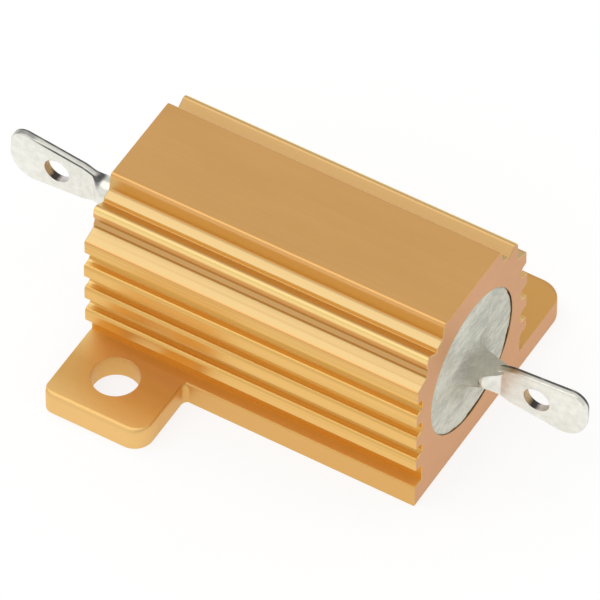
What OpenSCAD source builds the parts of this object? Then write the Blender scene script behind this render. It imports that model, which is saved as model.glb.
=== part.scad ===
// Aluminium-housed wirewound power resistor with two diagonal mounting lugs.
// +X runs along the leads and +Z is up from the mounting face. The origin is on that face,
// midway between the two fixing holes.

/* [Housing] */
// Length of the extruded body along the leads
body_l = 27.3; // [25:0.1:29]
// Height of the flat top above the mounting face
body_h = 15.8; // [15.4:0.1:16.6]
// Width of the flat top
top_w = 7.9; // [7.2:0.1:8.4]
// Rounding of the flat top's long edges
top_r = 0.3; // [0.1:0.05:0.5]
// Diameter of the bore that holds the resistor element
bore_d = 11.36; // [10.4:0.02:11.8]
// Height of the bore's axis above the mounting face
bore_z = 7.86; // [7.6:0.02:8.2]

/* [Shoulder ribs] */
// Drop from the flat top to the ledge beside it
ledge_drop = 1.15; // [1:0.05:1.4]
// Width of the ledge, out to the nose of its bead
ledge_w = 0.75; // [0.6:0.05:0.9]
// Height of the bead's nose
bead_h = 0.7; // [0.5:0.05:0.8]
// Distance across the outer faces of the two shoulder ribs
rib_span = 12.76; // [12.6:0.02:13]
// Drop from the flat top to the crest of a shoulder rib
rib_drop = 1.4; // [1.3:0.05:1.5]
// Width of a shoulder rib's crest
rib_crest_w = 0.7; // [0.5:0.05:0.8]
// Fall of the crest towards its outer edge
rib_crest_fall = 0.2; // [0.1:0.05:0.3]
// Height of a shoulder rib's outer face
rib_face_h = 0.6; // [0.5:0.05:0.8]
// Distance across the two necks under the shoulder ribs
neck_span = 12.3; // [12.1:0.05:12.4]
// Rounding of the beads and shoulder ribs
rib_r = 0.2; // [0.05:0.05:0.22]

/* [Fins] */
// Fins on each side
fin_count = 4; // [3:1:4]
// Distance across the tips of the lower fins
fin_span = 15.56; // [15.3:0.02:15.7]
// Distance across the tips of the top pair of fins
top_fin_span = 15.24; // [15:0.02:15.6]
// Distance across the bottoms of the grooves
groove_span = 13.8; // [13.5:0.05:14.1]
// Height of the lowest fin's middle above the mounting face
low_fin_z = 4.32; // [4.2:0.01:4.5]
// Drop from the flat top to the middle of the top fin
top_fin_drop = 4.33; // [4.25:0.01:4.4]
// Thickness of a fin at its tip
fin_tip_t = 1.2; // [0.9:0.02:1.24]
// Thickness of a fin at its root
fin_root_t = 1.4; // [1.3:0.02:1.5]
// Rounding of the fins' tips
fin_tip_r = 0.2; // [0.05:0.01:0.25]
// Rounding of the groove bottoms
groove_r = 0.3; // [0.1:0.05:0.35]

/* [Mounting lugs] */
// Width of the base strip that runs the whole length
strip_w = 15.78; // [15.7:0.02:16.4]
// Width across the two lugs
lug_span = 27.52; // [26.5:0.02:29]
// Length of a lug along the body
lug_l = 8.36; // [7.6:0.02:9.4]
// Thickness of the lugs and the base strip
lug_t = 1.96; // [1.6:0.02:2.2]
// Rounding of the left lug's corner at the end of the body
left_lug_end_r = 0.8; // [0.5:0.1:2]
// Rounding of the right lug's corner at the end of the body
right_lug_end_r = 1.9; // [0.5:0.1:2]
// Rounding of a lug's other outer corner
lug_r = 1.5; // [0.5:0.1:2]
// Rounding where a lug's inner edge meets the base strip
lug_root_r = 0.5; // [0.2:0.1:0.8]
// Diameter of the fixing holes
hole_d = 3.7; // [3:0.1:3.8]
// From the end of the body to the middle of its fixing hole
hole_end = 3.85; // [3.6:0.05:4.4]
// From a lug's outer edge to the middle of its fixing hole
hole_edge = 3.86; // [3.6:0.02:3.9]

/* [Resistor element] */
// Diameter of the ceramic core
core_d = 5.6; // [4.8:0.1:6]
// Length of the ceramic core
core_l = 19; // [17:0.5:20]
// Shift of the whole element along the bore
core_shift = -0.7; // [-0.8:0.1:0.8]
// Lean of the whole element in the bore, right end down
core_lean = 1.7; // [0:0.1:2]
// Length of core covered by an end cap
cap_skirt = 2.6; // [2:0.1:3]
// Thickness of an end cap's skirt
cap_wall = 0.45; // [0.35:0.05:0.6]
// Thickness of an end cap's closed end
cap_end_t = 0.5; // [0.4:0.05:0.7]
// Diameter of the resistance wire
wire_d = 0.3; // [0.2:0.02:0.36]
// Spacing of the wire's turns
wire_pitch = 0.7; // [0.6:0.05:1]

/* [Terminals] */
// Diameter of the terminal pins
pin_d = 2.3; // [1.8:0.1:2.4]
// From the end of the body to the start of a flattened tab
tab_gap = 2.85; // [2.4:0.05:3.6]
// Length of a flattened tab
tab_l = 7.25; // [6.6:0.05:8]
// Width of a tab at its widest, near the tip
tab_w = 4.8; // [4.4:0.02:5]
// Rounding of a tab's tip
tab_r = 2; // [1:0.1:2.2]
// Width of a tab behind its shoulders
tab_shoulder_w = 3.4; // [3:0.05:3.8]
// Length over which a tab spreads out from its pin
tab_shoulder_l = 1.1; // [0.8:0.1:1.5]
// Width of a tab where it leaves the pin
tab_root_w = 2.4; // [2.3:0.05:2.8]
// Thickness of a tab
tab_t = 0.64; // [0.5:0.02:0.8]
// Diameter of the wiring hole in a tab
tab_hole_d = 2.1; // [1.6:0.05:2.3]
// From a tab's tip to the middle of its wiring hole
tab_hole_end = 3.95; // [3.4:0.05:4.2]

/* [Filling] */
// Depth of the filling's faces below the ends of the body
face_recess = 0.2; // [0.1:0.05:0.5]
// Diameter of the filling's collar round a pin, at the face
collar_d = 2.8; // [2.6:0.1:3.6]
// Height of the collar above the face
collar_h = 0.9; // [0.6:0.1:1.3]

/* [Hidden] */

anodised_gold = [0.80, 0.60, 0.33];
cement_grey = [0.76, 0.76, 0.69];
steatite_white = [0.90, 0.88, 0.82];
wire_grey = [0.55, 0.54, 0.52];
cap_steel = [0.68, 0.68, 0.66];
bright_tin = [0.88, 0.88, 0.86];

arc_steps = 4;
outline_steps = 10;
round_fn = 96;

half_body = body_l / 2;
fin_pitch = (body_h - top_fin_drop - low_fin_z) / (fin_count - 1);
cap_r = core_d / 2 + cap_wall;
cap_back = core_l / 2 + cap_end_t;
cap_front = core_l / 2 - cap_skirt;
tab_start = half_body + tab_gap;
tab_end = tab_start + tab_l;

// Thickness of the collar at its thin end, all round
collar_lip = 0.1;

// The wire clears the core by wire_seat, and the filling clears the wire by as much.
wire_seat = 0.03;
wire_sides = 6;
wire_steps = 24;
coil_r = core_d / 2 + wire_d / 2 + wire_seat;
coil_end = cap_front - wire_d / 2 - wire_seat;
coil_turns = floor(2 * coil_end / wire_pitch);
coil_start = -coil_turns * wire_pitch / 2;

// A corner b between a and c, replaced by an arc of radius r. No radius leaves it sharp.
function round_corner(a, b, c, r, steps) =
    r == 0 ? [b] :
    let (
        u = (a - b) / norm(a - b),
        v = (c - b) / norm(c - b),
        half = acos(u * v) / 2,
        middle = b + (u + v) / norm(u + v) * r / sin(half),
        spoke = b + u * r / tan(half) - middle,
        turn = sign(u.x * v.y - u.y * v.x) * (2 * half - 180)
    )
    [for (i = [0:steps])
        let (t = turn * i / steps)
        middle + [spoke.x * cos(t) - spoke.y * sin(t), spoke.x * sin(t) + spoke.y * cos(t)]];

// An outline of [x, y, radius] corners, with every corner rounded.
function rounded(corners, steps) =
    let (n = len(corners))
    [for (i = [0:n - 1])
        let (
            a = corners[(i + n - 1) % n],
            b = corners[i],
            c = corners[(i + 1) % n]
        )
        each round_corner([a.x, a.y], [b.x, b.y], [c.x, c.y], b.z, steps)];

// Mirrors a run of corners to the other side and walks it backwards.
function mirrored(corners) =
    [for (i = [len(corners) - 1:-1:0]) [-corners[i].x, corners[i].y, corners[i].z]];

// One side of the section, from the flat top down to the neck above the fins.
function shoulder() =
    let (
        bead_y = top_w / 2 + ledge_w,
        ledge_z = body_h - ledge_drop,
        rib_y = rib_span / 2,
        crest_z = body_h - rib_drop,
        edge_z = crest_z - rib_crest_fall,
        face_z = edge_z - rib_face_h
    )
    [
        [top_w / 2, body_h, top_r],
        [top_w / 2 + ledge_w / 3, ledge_z, rib_r],
        [bead_y, ledge_z - bead_h / 4, rib_r],
        [bead_y + rib_r / 4, ledge_z - bead_h, rib_r / 2],
        [rib_y - rib_crest_w, crest_z, rib_r],
        [rib_y, edge_z, rib_r],
        [rib_y, face_z, rib_r],
        [neck_span / 2, face_z - rib_r, rib_r / 2],
        [neck_span / 2, body_h - top_fin_drop + fin_root_t / 2 + rib_r / 2, rib_r]
    ];

// One fin about the height z. The top fin's upper side runs on to the neck.
function fin(z, tip_y, is_top) =
    [
        if (!is_top) [groove_span / 2, z + fin_root_t / 2, groove_r],
        [tip_y, z + fin_tip_t / 2, fin_tip_r],
        [tip_y, z - fin_tip_t / 2, fin_tip_r],
        [groove_span / 2, z - fin_root_t / 2, groove_r]
    ];

function side() =
    concat(
        shoulder(),
        [for (i = [fin_count - 1:-1:0])
            let (is_top = i == fin_count - 1)
            each fin(low_fin_z + i * fin_pitch, (is_top ? top_fin_span : fin_span) / 2, is_top)],
        [
            [groove_span / 2, lug_t, groove_r],
            [strip_w / 2, lug_t, fin_tip_r],
            [strip_w / 2, 0, 0]
        ]
    );

// Stands a drawing in Y and Z up, and runs it from -x to +x.
module along_x(x) {
    translate([-x, 0, 0])
        rotate([90, 0, 90])
            linear_extrude(2 * x)
                children();
}

// Half of the base strip's outline, with the right lug.
function lug_side(end_r) =
    let (
        lug_x = half_body - lug_l,
        half_lug = lug_span / 2,
        half_strip = strip_w / 2
    )
    [
        [half_body, -half_strip, 0],
        [half_body, half_lug, end_r],
        [lug_x, half_lug, lug_r],
        [lug_x, half_strip, lug_root_r]
    ];

// The base strip with its two lugs, one at each end and on opposite sides.
module base_plate() {
    right_side = lug_side(right_lug_end_r);
    left_side = [for (p = lug_side(left_lug_end_r)) [-p.x, -p.y, p.z]];
    linear_extrude(lug_t)
        polygon(rounded(concat(right_side, left_side), outline_steps));
}

module fixing_holes() {
    for (s = [-1, 1])
        translate([s * (half_body - hole_end), s * (lug_span / 2 - hole_edge), -1])
            cylinder(h = lug_t + 2, d = hole_d, $fn = round_fn);
}

module housing() {
    color(anodised_gold)
        difference() {
            union() {
                along_x(half_body)
                    polygon(rounded(concat(side(), mirrored(side())), arc_steps));
                base_plate();
            }
            translate([-half_body - 1, 0, bore_z])
                rotate([0, 90, 0])
                    cylinder(h = body_l + 2, d = bore_d, $fn = round_fn);
            fixing_holes();
        }
}

// Puts what is drawn along +Z about the origin on the element's axis in the bore.
module on_core_axis() {
    translate([core_shift, 0, bore_z])
        rotate([0, 90 + core_lean, 0])
            children();
}

// A round bar on the element's axis, from x1 to x2.
module bar(x1, x2, d) {
    translate([0, 0, x1])
        cylinder(h = x2 - x1, d = d, $fn = round_fn);
}

module ceramic_core() {
    color(steatite_white)
        on_core_axis()
            bar(-core_l / 2, core_l / 2, core_d);
}

// One ring of the wire's skin, at step i along the coil.
function wire_ring(i) =
    let (
        a = 360 * i / wire_steps,
        outward = [cos(a), sin(a), 0],
        slope = atan(wire_pitch / (2 * PI * coil_r)),
        upward = [sin(slope) * sin(a), -sin(slope) * cos(a), cos(slope)],
        middle = coil_r * outward + [0, 0, coil_start + wire_pitch * i / wire_steps]
    )
    [for (k = [0:wire_sides - 1])
        let (t = 360 * k / wire_sides)
        middle + wire_d / 2 * (cos(t) * outward + sin(t) * upward)];

module resistance_winding() {
    rings = coil_turns * wire_steps;
    skin = [for (i = [0:rings - 1], k = [0:wire_sides - 1])
        let (
            p = i * wire_sides + k,
            q = i * wire_sides + (k + 1) % wire_sides
        )
        [p, q, q + wire_sides, p + wire_sides]];
    first = [for (k = [wire_sides - 1:-1:0]) k];
    last = [for (k = [0:wire_sides - 1]) rings * wire_sides + k];
    color(wire_grey)
        on_core_axis()
            polyhedron(
                points = [for (i = [0:rings]) each wire_ring(i)],
                faces = concat([first, last], skin),
                convexity = 8
            );
}

module end_cap() {
    difference() {
        bar(cap_front, cap_back, 2 * cap_r);
        bar(cap_front - 1, core_l / 2, core_d);
    }
}

module end_cap_left() {
    color(cap_steel)
        on_core_axis()
            mirror([0, 0, 1])
                end_cap();
}

module end_cap_right() {
    color(cap_steel)
        on_core_axis()
            end_cap();
}

// A tab's flat outline, drawn along +X from the body's middle.
module tab_outline() {
    edge = [
        [tab_start, tab_root_w / 2, 0],
        [tab_start + tab_shoulder_l, tab_shoulder_w / 2, tab_shoulder_l / 2],
        [tab_end, tab_w / 2, tab_r]
    ];
    other_edge = [for (i = [2:-1:0]) [edge[i].x, -edge[i].y, edge[i].z]];
    polygon(rounded(concat(edge, other_edge), outline_steps));
}

// A round pin, squashed to a chisel where it runs into its flat tab.
module terminal() {
    squash_slope = (pin_d - tab_t) / (2 * pin_d);
    flat_x = tab_start + pin_d / 2;
    open_y = tab_t / 2 + squash_slope * flat_x;
    rotate([90, -90, 0])
        translate([0, 0, -tab_t / 2])
            difference() {
                linear_extrude(tab_t)
                    tab_outline();
                translate([tab_end - tab_hole_end, 0, -1])
                    cylinder(h = tab_t + 2, d = tab_hole_d, $fn = round_fn);
            }
    intersection() {
        bar(cap_back, flat_x, pin_d);
        rotate([0, -90, 0])
            linear_extrude(2 * pin_d, center = true)
                polygon([
                    [0, -open_y],
                    [flat_x + 1, -tab_t / 2 + squash_slope],
                    [flat_x + 1, tab_t / 2 - squash_slope],
                    [0, open_y]
                ]);
    }
}

module terminal_left() {
    color(bright_tin)
        on_core_axis()
            mirror([0, 0, 1])
                terminal();
}

module terminal_right() {
    color(bright_tin)
        on_core_axis()
            terminal();
}

// The space that the element takes up inside the filling.
module element_space() {
    on_core_axis() {
        bar(-tab_start, tab_start, pin_d);
        bar(-cap_back, -cap_front, 2 * cap_r);
        bar(-cap_front, cap_front, 2 * coil_r + wire_d + 2 * wire_seat);
        bar(cap_front, cap_back, 2 * cap_r);
    }
}

// Filling that has crept up a pin, on a root sunk into the face.
module collar() {
    bar(-collar_h, 0, collar_d);
    cylinder(h = collar_h, d1 = collar_d, d2 = pin_d + collar_lip, $fn = round_fn);
}

module insulating_filling() {
    face_x = half_body - face_recess;
    color(cement_grey)
        difference() {
            union() {
                translate([-face_x, 0, bore_z])
                    rotate([0, 90, 0])
                        cylinder(h = 2 * face_x, d = bore_d, $fn = round_fn);
                on_core_axis() {
                    translate([0, 0, face_x - core_shift])
                        collar();
                    mirror([0, 0, 1])
                        translate([0, 0, face_x + core_shift])
                            collar();
                }
            }
            element_space();
        }
}

housing();
insulating_filling();
ceramic_core();
resistance_winding();
end_cap_left();
end_cap_right();
terminal_left();
terminal_right();
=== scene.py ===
"""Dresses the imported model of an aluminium-housed power resistor: a gold anodised finned
housing, the cement in its bore, the tinned solder tabs and what is hidden inside."""

import math

import bmesh
import bpy
from mathutils import Matrix, Vector, noise


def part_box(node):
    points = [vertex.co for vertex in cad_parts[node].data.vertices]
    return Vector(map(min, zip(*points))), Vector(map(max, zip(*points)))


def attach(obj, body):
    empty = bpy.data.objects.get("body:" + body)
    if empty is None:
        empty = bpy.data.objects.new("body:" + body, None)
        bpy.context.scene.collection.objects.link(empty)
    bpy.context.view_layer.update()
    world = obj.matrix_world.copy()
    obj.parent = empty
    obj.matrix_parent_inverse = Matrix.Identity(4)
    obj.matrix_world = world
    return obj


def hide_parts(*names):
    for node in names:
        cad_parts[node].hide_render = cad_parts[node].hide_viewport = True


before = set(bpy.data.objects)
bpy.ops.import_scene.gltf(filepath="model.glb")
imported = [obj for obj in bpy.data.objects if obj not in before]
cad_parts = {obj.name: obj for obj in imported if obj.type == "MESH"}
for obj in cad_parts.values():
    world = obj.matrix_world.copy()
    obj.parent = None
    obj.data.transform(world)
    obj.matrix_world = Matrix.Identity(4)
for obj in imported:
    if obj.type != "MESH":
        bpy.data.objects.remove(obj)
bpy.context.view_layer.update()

# --- Sizes, in millimetres ---------------------------------------------------------------
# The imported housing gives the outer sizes. The rest are the real part's.

MM = 0.001


def box_mm(node):
    """A node's lowest and highest corners, in millimetres."""
    low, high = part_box(node)
    return Vector(low) / MM, Vector(high) / MM


house_low, house_high = box_mm("housing")
BODY_L = house_high.x - house_low.x
BODY_H = house_high.z
HALF_LUG_SPAN = house_high.y
HALF_BODY = BODY_L / 2

TOP_W = 7.9
TOP_R = 0.3
BORE_R = 5.68
BORE_Z = 7.86

# The shoulder on each side of the flat top, from which the drops are measured: a ledge, a
# channel, a rib, the neck under it, and the slope on the top fin
LEDGE_DROP = 1.4
LEDGE_W = 0.97
LEDGE_FALL = 0.21
LEDGE_R = 0.3
CHANNEL_DROP = 1.95
RIB_SPAN = 12.72
RIB_DROP = 1.4
RIB_CREST_W = 0.48
RIB_CREST_R = 0.35
RIB_FACE_H = 0.93
NECK_SPAN = 12.4
NECK_H = 0.2
NECK_STEP_H = 0.3
SLOPE_SPAN = 12.74
SLOPE_DROP = 3.3
RIBS_LOW = 3.8
RIB_R = 0.2
SMALL_R = 0.09
CREST_MARGIN = 0.03

FIN_COUNT = 4
FIN_SPAN = 15.56
TOP_FIN_SPAN = 15.24
GROOVE_SPAN = 13.8
LOW_FIN_Z = 4.32
TOP_FIN_DROP = 4.33
FIN_PITCH = (BODY_H - TOP_FIN_DROP - LOW_FIN_Z) / (FIN_COUNT - 1)
FIN_TIP_T = 1.2
FIN_ROOT_T = 1.4
FIN_TIP_R = 0.3
FIN_LOW_R = 0.15
GROOVE_R = 0.4

# The strip along the base, its lugs, and the fixing holes' places from the lugs' edges
STRIP_W = 15.78
LUG_L = 8.36
LUG_T = 1.96
LUG_R = 1.5
LUG_ROOT_R = 0.5
LEFT_LUG_END_R = 0.8
RIGHT_LUG_END_R = 1.9
HOLE_R = 1.8
HOLE_END = 3.85
HOLE_EDGE = 3.86

# The element leans in the bore. What is on its axis is placed by s, from its middle.
CORE_SHIFT = -0.7
CORE_LEAN = math.radians(1.7)
CORE_R = 2.8
CORE_L = 19
CAP_SKIRT = 2.6
CAP_R = 3.25
CAP_BACK = 10.0
WIRE_R = 0.15
WIRE_PITCH = 0.7
WIRE_SEAT = 0.03

# A terminal: a round pin that is squashed flat, and widens over a shoulder to the tab
PIN_R = 1.15
TAB_START = HALF_BODY + 2.85
TAB_END = TAB_START + 7.25
TAB_T = 0.64
TAB_W = 4.8
TAB_R = 2.0
TAB_TOP_R = 1.2
TAB_TOP_SHORT = 0.03
TAB_EDGE_R = 0.14
TAB_SHOULDER_W = 3.4
TAB_SHOULDER_L = 1.1
SQUASH_START = TAB_START - 0.75
SQUASH_END = TAB_START + 0.45
WIDENING_LEAD = 0.4
TAB_HOLE_R = 1.02
TAB_HOLE_RIM = 0.04
TAB_HOLE_X = TAB_END - 3.95

# The cement: its face below the body's end, the gap where it has shrunk from the bore,
# how rough it is, and the sleeve that it leaves on each pin
CEMENT_DROP = 0.08
RIM_GAP = 0.11
GAP_DEPTH = 0.1
GAP_LEAST = 0.02
GAP_RAGGED = 1.2
WALL_SUNK = 0.01
CEMENT_WAVE = 0.05
CEMENT_TOOTH = 0.03
SLEEVE_L = 1.2
SLEEVE_RAGGED = 0.35
SLEEVE_SUNK = 0.4
SMEAR_L = 1.9

# How far edges are rounded: the sawn ends', the strip's, the lugs' upper ones with the
# share of it that their sides get, and the drilled holes'
CUT_EDGE_R = 0.07
STRIP_EDGE_R = 0.2
LUG_EDGE_R = 0.45
LUG_SIDE_SHARE = 0.3
HOLE_EDGE_R = 0.03

# How far a face lies inside one that it would otherwise share, and how near two points
# are that count as one
SUNK = 0.003
SAME_PLACE = 0.0001

# Steps round an arc or along a stretch, and points round a circle
RIM_STEPS = 4
SECTION_STEPS = 8
LUG_STEPS = 16
EDGE_STEPS = 6
SQUASH_STEPS = 24
BLADE_STEPS = 14
TIP_STEPS = 16
WIRE_STEPS = 48
WIRE_SIDES = 10
BORE_POINTS = 144
HOLE_POINTS = 96
PUNCH_POINTS = 64

# The angles, in degrees, past which an edge stays sharp
CREASE = 35
TAB_CREASE = 50

# Colours. A pair is the dark and the light one that a grain goes between.
TOP_GOLD = (0.73, 0.395, 0.125), (0.84, 0.48, 0.185)
TIP_GOLD = (0.83, 0.50, 0.145), (0.90, 0.56, 0.185)
FOOT_GOLD = (0.74, 0.43, 0.13), (0.84, 0.505, 0.17)
SAWN_GOLD = (0.68, 0.35, 0.17), (0.84, 0.48, 0.24)
# A lighter painted highlight for the crests and the slope
PALE_HIGHLIGHT_GOLD = (0.72, 0.52, 0.24)
# Painted shade on the wall below the flat top
WALL_SHADE_GOLD = (0.50, 0.41, 0.16)
# The channel painted lighter on the left side, and darker with painted shade on the right
LEFT_CHANNEL_LIT_GOLD = (0.79, 0.53, 0.22)
RIGHT_CHANNEL_SHADE_GOLD = (0.61, 0.38, 0.155)
# A painted highlight on each rib's nose
NOSE_HIGHLIGHT_GOLD = (1.0, 0.72, 0.29)
# Painted shade on the neck under each rib
NECK_SHADE_GOLD = (0.30, 0.24, 0.13)
# Painted light on the groove faces between the fins
GROOVE_LIGHT_GOLD = (0.92, 0.65, 0.27)
# Painted shade deep in the grooves' roots
ROOT_SHADE_GOLD = (0.80, 0.43, 0.09)
# Painted light and highlight on the left lug's root and end
LEFT_LUG_LIGHT_GOLD = (0.98, 0.66, 0.27)
# Painted shade on the right lug
RIGHT_LUG_SHADE_GOLD = (0.62, 0.32, 0.09)
# Die streaks, and the painted shade line on each fin's tip
STREAK_AND_SHADE_GOLD = (0.52, 0.29, 0.09)
# Painted shade on the bore's lip
BORE_SHADE_GOLD = (0.24, 0.15, 0.08)
CEMENT_GREY = (0.61, 0.62, 0.54), (0.91, 0.90, 0.77)
CEMENT_TAN = (0.74, 0.66, 0.50)
CEMENT_STAIN = (0.37, 0.345, 0.27)
TIN = (0.76, 0.745, 0.67), (0.93, 0.92, 0.84)
# A painted dark reflection along the tabs' edges
TIN_DARK_REFLECTION = (0.12, 0.12, 0.12)
# A painted reflection of the gold housing
GOLD_REFLECTION_BROWN = (0.42, 0.27, 0.13)
# A painted reflection of the gold, and bare metal
HOLE_REFLECTION_AND_METAL = (0.62, 0.45, 0.26), (0.84, 0.81, 0.79)
# Painted shadow in the wiring holes
HOLE_SHADOW_BLACK = (0.03, 0.03, 0.035)
STEATITE_WHITE = (0.74, 0.71, 0.63), (0.82, 0.79, 0.72)
CAP_STEEL = (0.46, 0.46, 0.44), (0.58, 0.58, 0.56)
WIRE_ALLOY = (0.40, 0.38, 0.35), (0.55, 0.53, 0.50)

# The stage, in metres. A level of 1 is white.
FLOOR_HALF_WIDTH = 3.0
FLOOR_SHADE = 0.9
FLOOR_SEEN_SHADE = 0.25
FLOOR_GLOW = 0.79
SURROUND_LEVEL = 0.67
SOFTBOX_L = 1.4
SOFTBOX_W = 0.95
SOFTBOX_LEVEL = 0.72
SOFTBOX_PLACE = (-0.36, -0.07, 1.0)
FRONT_CARD_L = 3.0
FRONT_CARD_W = 1.5
FRONT_CARD_LEVEL = 0.22
FRONT_CARD_PLACE = (-0.9, -1.5, 0.8)
FRONT_CARD_TIP = 70

# The camera: where it looks, the direction back from there to it, and how far that is
CAMERA_AIM = Vector((0.084, -0.881, 7.224)) * MM
CAMERA_BACK = Vector((0.331, -0.555, 0.763)).normalized()
CAMERA_DISTANCE = 0.6938
CAMERA_LENS = 587.4
CAMERA_SENSOR = 36.0
CAMERA_NEAREST = 0.01


# --- Node trees --------------------------------------------------------------------------


class Value:
    """One node's output. Its operators add the Math nodes that work them out."""

    def __init__(self, tree, socket):
        self.tree = tree
        self.socket = socket

    def maths(self, operation, *others):
        """The operation on this value and any others, each a value or a number."""
        inputs = dict(enumerate((self, *others)))
        return self.tree.node("ShaderNodeMath", inputs, operation=operation)

    def __add__(self, other):
        return self.maths("ADD", other)

    def __sub__(self, other):
        return self.maths("SUBTRACT", other)

    def __rsub__(self, other):
        return -self + other

    def __mul__(self, other):
        return self.maths("MULTIPLY", other)

    def __truediv__(self, other):
        return self.maths("DIVIDE", other)

    def __gt__(self, other):
        return self.maths("GREATER_THAN", other)

    def __lt__(self, other):
        return self.maths("LESS_THAN", other)

    def __neg__(self):
        return self.maths("MULTIPLY", -1.0)

    def __abs__(self):
        return self.maths("ABSOLUTE")

    __radd__ = __add__
    __rmul__ = __mul__


def between(value, low, high):
    """1 where a value lies between two levels, and 0 elsewhere."""
    return (value > low) * (value < high)


def distance(a, b):
    """How far apart two points are that lie a and b apart along two axes."""
    return (a * a + b * b).maths("SQRT")


class Tree:
    """A node tree, shader or geometry, with one method that makes any node."""

    def __init__(self, tree):
        self.tree = tree
        self.tree.nodes.clear()

    def node(self, kind, inputs=None, out=0, **settings):
        """Adds a node: its settings first, then its inputs, by name or number."""
        made = self.tree.nodes.new(kind)
        for name, setting in settings.items():
            if name == "stops":
                self.set_stops(made.color_ramp, setting)
            else:
                setattr(made, name, setting)
        for name, given in (inputs or {}).items():
            terms = given if isinstance(given, list) else [given]
            for term in terms:
                if isinstance(term, Value):
                    self.tree.links.new(term.socket, made.inputs[name])
                else:
                    made.inputs[name].default_value = term
        return Value(self, made.outputs[out]) if made.outputs else None

    def set_stops(self, ramp, stops):
        while len(ramp.elements) < len(stops):
            ramp.elements.new(1.0)
        for element, (place, level) in zip(ramp.elements, stops):
            element.position = place
            element.color = (level, level, level, 1.0)


class Paint(Tree):
    """A material's node tree, with the patterns that the finishes share."""

    def __init__(self, name):
        self.material = bpy.data.materials.new(name)
        self.material.use_nodes = True
        super().__init__(self.material.node_tree)
        self.place = self.node("ShaderNodeTexCoord", out="Object")

    def axes(self):
        """The surface point's X, Y and Z, in millimetres."""
        place = self.node("ShaderNodeVectorMath", {0: self.place, 3: 1 / MM}, operation="SCALE")
        made = self.node("ShaderNodeSeparateXYZ", {0: place})
        return [Value(self, socket) for socket in made.socket.node.outputs]

    def grain(self, x, y, z, detail=2.0, roughness=0.5, seed=0.0):
        """Noise from 0 to 1, with so many features to the metre along each axis."""
        where = self.node(
            "ShaderNodeMapping",
            {"Vector": self.place, "Location": (seed, seed, seed), "Scale": (x, y, z)},
        )
        shape = {"Vector": where, "Scale": 1.0, "Detail": detail, "Roughness": roughness}
        return self.node("ShaderNodeTexNoise", shape)

    def ramp(self, value, stops, over=(0.0, 1.0)):
        """Maps a value through grey stops, each a place and a level, in the range over."""
        low, high = over
        width = high - low
        placed = [((place - low) / width, level) for place, level in stops]
        return self.node("ShaderNodeValToRGB", {0: (value - low) / width}, stops=placed)

    def blend(self, factor, first, second):
        """first where factor is 0, second where it is 1. Both are colours.

        A Mix node has its colours on inputs 6 and 7, and their mix on output 2."""
        first, second = [
            term if isinstance(term, Value) else (*term, 1.0) for term in (first, second)
        ]
        inputs = {0: factor, 6: first, 7: second}
        return self.node("ShaderNodeMix", inputs, out=2, data_type="RGBA")

    def layers(self, colour, *coats):
        """A colour under coats, each given by how far it covers, from 0 to 1, and its colour."""
        for cover, coat in coats:
            colour = self.blend(cover, colour, coat)
        return colour

    def bump(self, height, depth):
        """A normal for a relief whose full height is depth, in millimetres."""
        return self.node("ShaderNodeBump", {"Height": height, "Distance": depth * MM})

    def surface(self, **sockets):
        """Ends the tree in a Principled surface and returns the material."""
        named = {name.replace("_", " "): given for name, given in sockets.items()}
        shader = self.node("ShaderNodeBsdfPrincipled", named)
        self.node("ShaderNodeOutputMaterial", {"Surface": shader})
        return self.material


# --- Finishes ----------------------------------------------------------------------------

# The distances from the middle, in millimetres, that ramps across the section cover
ACROSS_BODY = (0.0, 10.0)


def shoulder_gold(paint, y, height, flat, lines):
    """The flat top's gold, changed on each side from its wall down to the top fin.

    The crests and the slope are painted lighter along the lines as a painted highlight, and
    each rib has a bright painted highlight on its nose. The wall and the neck under each rib
    get painted shade, and the channel is painted lighter on the left side and darker, as
    painted shade, on the right side."""
    out = abs(y)
    slope_top = BODY_H - SLOPE_DROP + SUNK
    on_wall = between(height, BODY_H - LEDGE_DROP + LEDGE_R / 2, BODY_H - TOP_R)
    in_channel = between(out, TOP_W / 2 + LEDGE_W, RIB_SPAN / 2 - RIB_CREST_W)
    in_channel = in_channel * (height > BODY_H - CHANNEL_DROP - SUNK)
    on_crests = between(height, BODY_H - CHANNEL_DROP + SMALL_R, BODY_H - RIB_DROP + CREST_MARGIN)
    on_neck = between(height, slope_top, BODY_H - RIB_DROP - RIB_FACE_H)
    on_slope = between(height, BODY_H - RIBS_LOW, slope_top)
    on_slope = on_slope * (out < TOP_FIN_SPAN / 2 - FIN_LOW_R)
    crest_stops = [(4.1, 1.0), (4.88, 1.0), (4.95, 0.0), (5.75, 0.0), (5.9, 0.6), (6.4, 0.4)]
    nose_stops = [(6.04, 0.0), (6.2, 0.9), (6.37, 0.9), (6.42, 0.0)]
    crests = on_crests * paint.ramp(out, crest_stops, ACROSS_BODY)
    # Painted highlight along each rib's nose
    nose_highlights = on_crests * paint.ramp(out, nose_stops, ACROSS_BODY)
    # The channel: painted light on the left side, painted shade on the right
    channel = paint.blend(y > 0, LEFT_CHANNEL_LIT_GOLD, RIGHT_CHANNEL_SHADE_GOLD)
    return paint.layers(
        flat,
        # Painted highlight: the crests and the slope lighter along the lines
        ((crests + on_slope) * (0.75 + 0.4 * lines), PALE_HIGHLIGHT_GOLD),
        (in_channel, channel),
        # Painted shade on the wall
        (0.4 * on_wall, WALL_SHADE_GOLD),
        (nose_highlights, NOSE_HIGHLIGHT_GOLD),
        # Painted shade under each rib
        (0.25 * on_neck, NECK_SHADE_GOLD),
    )


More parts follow.
